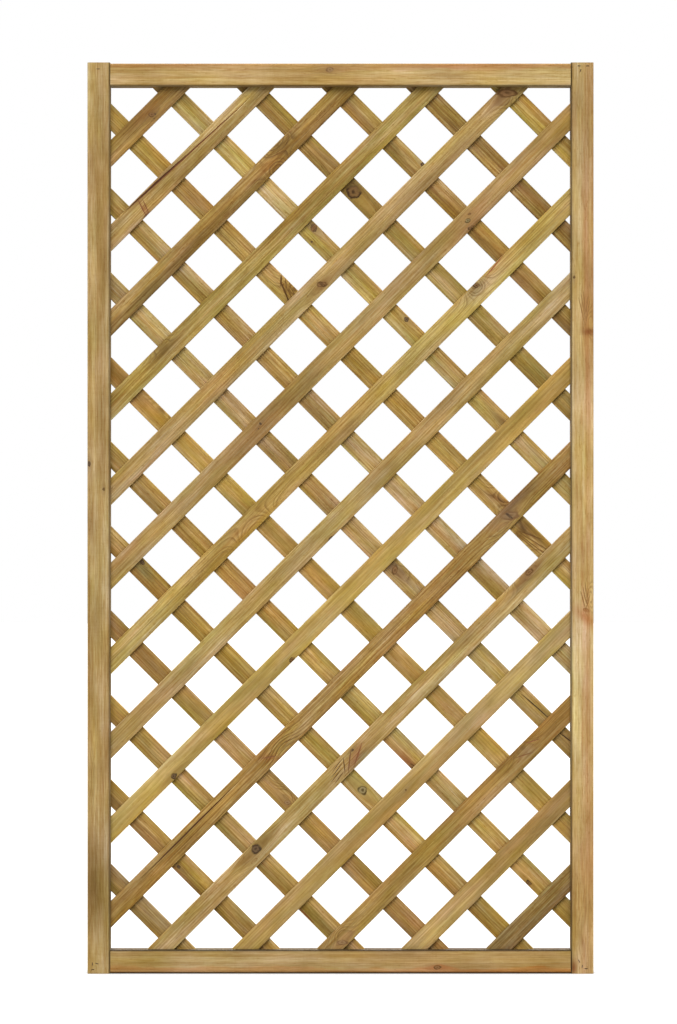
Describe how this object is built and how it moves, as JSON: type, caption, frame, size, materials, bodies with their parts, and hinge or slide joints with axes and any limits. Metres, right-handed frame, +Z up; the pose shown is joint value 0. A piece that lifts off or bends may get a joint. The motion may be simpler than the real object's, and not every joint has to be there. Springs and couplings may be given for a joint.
{
  "type": "trellis panel",
  "caption": "Framed wooden trellis panel: a grooved square-section frame round a diagonal lattice of thin laths in crossing layers, stapled together.",
  "frame": {"origin": "under the middle of the panel, halfway through its depth, on the surface it stands on", "axes": "+Z up along the stiles, +X to the right as seen from the front, +Y to the back"},
  "size_m": [1, 0.045, 1.8],
  "materials": {
    "frame_wood": "planed, pressure-treated pine",
    "lath_wood": "planed, pressure-treated pine",
    "staple_steel": "galvanised wire"
  },
  "bodies": {
    "root": {"left_stile": "frame_wood", "right_stile": "frame_wood", "top_rail": "frame_wood", "bottom_rail": "frame_wood", "front_lath_01": "lath_wood", "front_lath_02": "lath_wood", "front_lath_03": "lath_wood", "front_lath_04": "lath_wood", "front_lath_05": "lath_wood", "front_lath_06": "lath_wood", "front_lath_07": "lath_wood", "front_lath_08": "lath_wood", "front_lath_09": "lath_wood", "front_lath_10": "lath_wood", "front_lath_11": "lath_wood", "front_lath_12": "lath_wood", "front_lath_13": "lath_wood", "front_lath_14": "lath_wood", "front_lath_15": "lath_wood", "back_lath_01": "lath_wood", "back_lath_02": "lath_wood", "back_lath_03": "lath_wood", "back_lath_04": "lath_wood", "back_lath_05": "lath_wood", "back_lath_06": "lath_wood", "back_lath_07": "lath_wood", "back_lath_08": "lath_wood", "back_lath_09": "lath_wood", "back_lath_10": "lath_wood", "back_lath_11": "lath_wood", "back_lath_12": "lath_wood", "back_lath_13": "lath_wood", "back_lath_14": "lath_wood", "back_lath_15": "lath_wood", "corner_staples": "staple_steel", "lath_staples": "staple_steel"}
  },
  "joints": []
}
